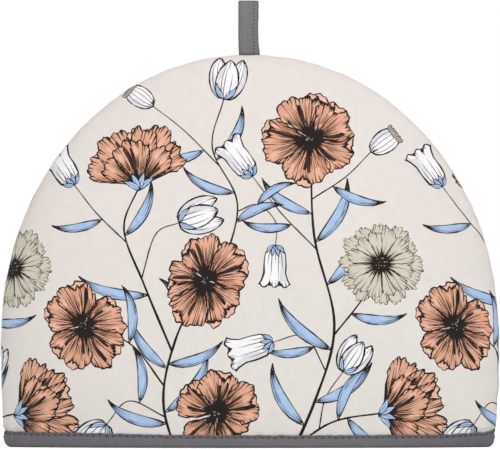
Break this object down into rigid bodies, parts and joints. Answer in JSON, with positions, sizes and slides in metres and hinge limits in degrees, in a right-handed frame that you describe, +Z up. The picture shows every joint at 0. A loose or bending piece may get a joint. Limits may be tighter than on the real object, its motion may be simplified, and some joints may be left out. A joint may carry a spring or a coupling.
{
  "type": "tea cosy",
  "caption": "Padded dome-shaped tea cosy that stands open on its bound hem: flower-printed front and back panels sewn round the arch, with a folded tape loop at the top to hang it by.",
  "frame": {"origin": "middle of the base, on the surface that the hem rests on", "axes": "+Z up, +X along the cosy's long side to the right of the front panel, the front panel faces -Y"},
  "size_m": [0.34, 0.1016, 0.3045],
  "materials": {
    "printed_cloth": "matt plain-weave cotton, warm off-white ground with a loose flower print",
    "binding_cloth": "matt plain grey cotton with dark top-stitching",
    "loop_tape": "matt grey woven tape with an edge stitch"
  },
  "bodies": {
    "root": {"front_panel": "printed_cloth", "back_panel": "printed_cloth", "binding": "binding_cloth", "hanging_loop": "loop_tape"}
  },
  "joints": []
}
